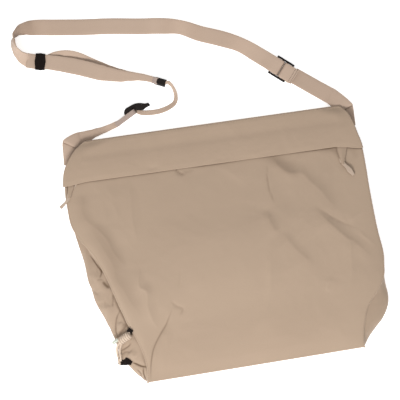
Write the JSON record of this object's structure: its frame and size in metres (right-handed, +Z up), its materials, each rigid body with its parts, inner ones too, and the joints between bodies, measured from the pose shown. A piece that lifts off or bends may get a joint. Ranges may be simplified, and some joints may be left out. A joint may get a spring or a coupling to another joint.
{
  "type": "musette bag",
  "caption": "Flat shoulder bag of thin cloth with a fold-over flap, pleated sides, a webbing strap that closes with a small hook, and a side lash cord.",
  "frame": {"origin": "on the floor, under the middle of the back cloth, with the bag lying on its back", "axes": "+X right along the top edge as seen from above, +Y towards the strap, +Z up off the floor"},
  "size_m": [0.4266, 0.4687, 0.0372],
  "materials": {
    "cloth": "soft matt tan cloth",
    "webbing": "matt tan woven webbing",
    "tape": "smooth grey-pink ribbon",
    "slider": "matt",
    "black_plastic": "satin black",
    "black_webbing": "matt black webbing",
    "elastic_cord": "braided pale cord",
    "clear_tip": "glossy pale grey-green"
  },
  "bodies": {
    "root": {"rear_panel": "cloth", "front_panel": "cloth", "gusset_left": "cloth", "gusset_right": "cloth", "bottom_panel": "cloth", "flap": "cloth", "strap_main": "webbing", "strap_right_anchor": "webbing", "strap_left_anchor": "webbing", "narrow_tape": "webbing", "zip_tape": "tape", "loop_tape": "tape", "zip_pull_left": "tape", "zip_pull_right": "tape", "zip_slider_left": "slider", "zip_slider_right": "slider", "triglide": "black_plastic", "end_fitting": "black_plastic", "hook": "black_plastic", "keeper": "black_webbing", "lash_loop_upper": "black_webbing", "lash_loop_lower": "black_webbing", "lash_cord": "elastic_cord", "cord_tip": "clear_tip"}
  },
  "joints": []
}
